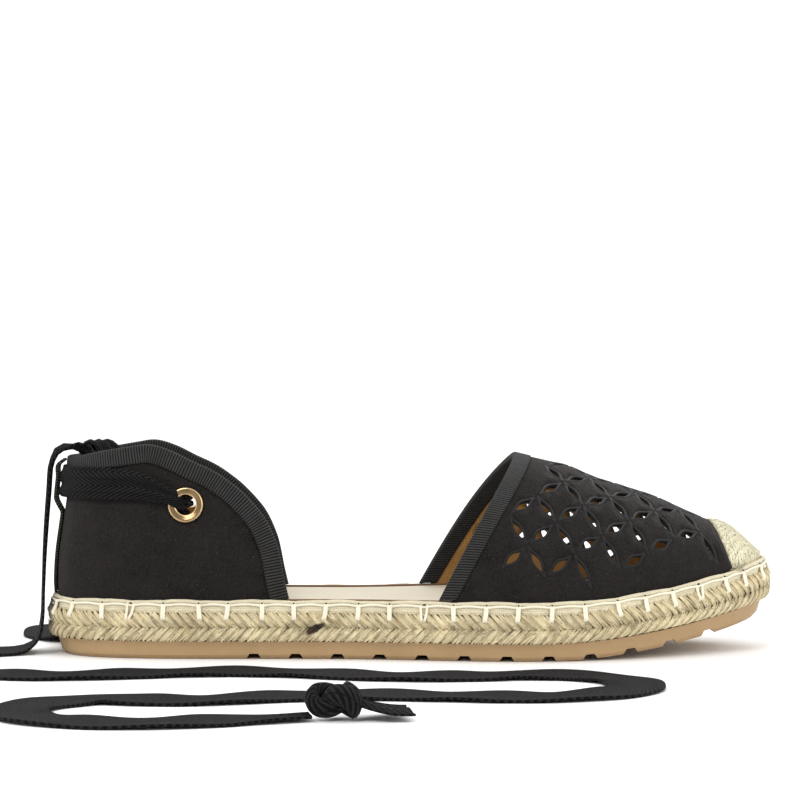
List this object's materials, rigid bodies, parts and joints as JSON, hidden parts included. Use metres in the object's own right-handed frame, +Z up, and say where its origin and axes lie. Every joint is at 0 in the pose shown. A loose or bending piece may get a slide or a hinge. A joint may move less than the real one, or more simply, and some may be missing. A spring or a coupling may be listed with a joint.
{
  "type": "espadrille",
  "caption": "Flat ankle-tie espadrille for a right foot: cutwork suede vamp with a jute toe cap, open waist, closed heel with eyelets, braided jute and rubber sole, and loose cotton ties.",
  "frame": {"origin": "on the ground under the middle of the jute sole's length and width", "axes": "+X from heel to toe, +Y to the medial (inner) side of the foot, +Z up"},
  "size_m": [0.3077, 0.3844, 0.0753],
  "materials": {
    "outsole_rubber": "matte tan rubber, shaded darker in places, with fine serrations under the lugs",
    "jute_braid": "natural jute braid in two rows of slanting strands",
    "welt_canvas": "natural cotton canvas strip with white stitching",
    "footbed": "smooth pale beige footbed cover with a darker edge",
    "vamp_suede": "black suede with a tan fabric lining behind it",
    "throat_ribbon": "black ribbed ribbon",
    "cap_jute": "coarse natural jute weave",
    "counter_suede": "black suede with a tan fabric lining behind it",
    "collar_ribbon": "black ribbed ribbon",
    "strip_ribbon": "black ribbed ribbon with olive edges",
    "eyelet_gilt": "polished pale gold metal",
    "eyelet_gilt_2": "polished pale gold metal",
    "heel_cotton": "black herringbone cotton tape, folded lengthwise",
    "tie_cotton": "black herringbone cotton tape",
    "tie_cotton_2": "black herringbone cotton tape",
    "knot_cotton": "black herringbone cotton tape, knotted",
    "knot_cotton_2": "black herringbone cotton tape, knotted"
  },
  "bodies": {
    "root": {"outsole": "outsole_rubber", "jute_sole": "jute_braid", "welt_strip": "welt_canvas", "insole": "footbed", "vamp": "vamp_suede", "throat_binding": "throat_ribbon", "toe_cap": "cap_jute", "heel_counter": "counter_suede", "collar_binding": "collar_ribbon", "back_strip": "strip_ribbon", "eyelet_lateral": "eyelet_gilt", "eyelet_medial": "eyelet_gilt_2", "heel_tape": "heel_cotton", "tie_lateral": "tie_cotton", "tie_medial": "tie_cotton_2", "knot_lateral": "knot_cotton", "knot_medial": "knot_cotton_2"}
  },
  "joints": []
}
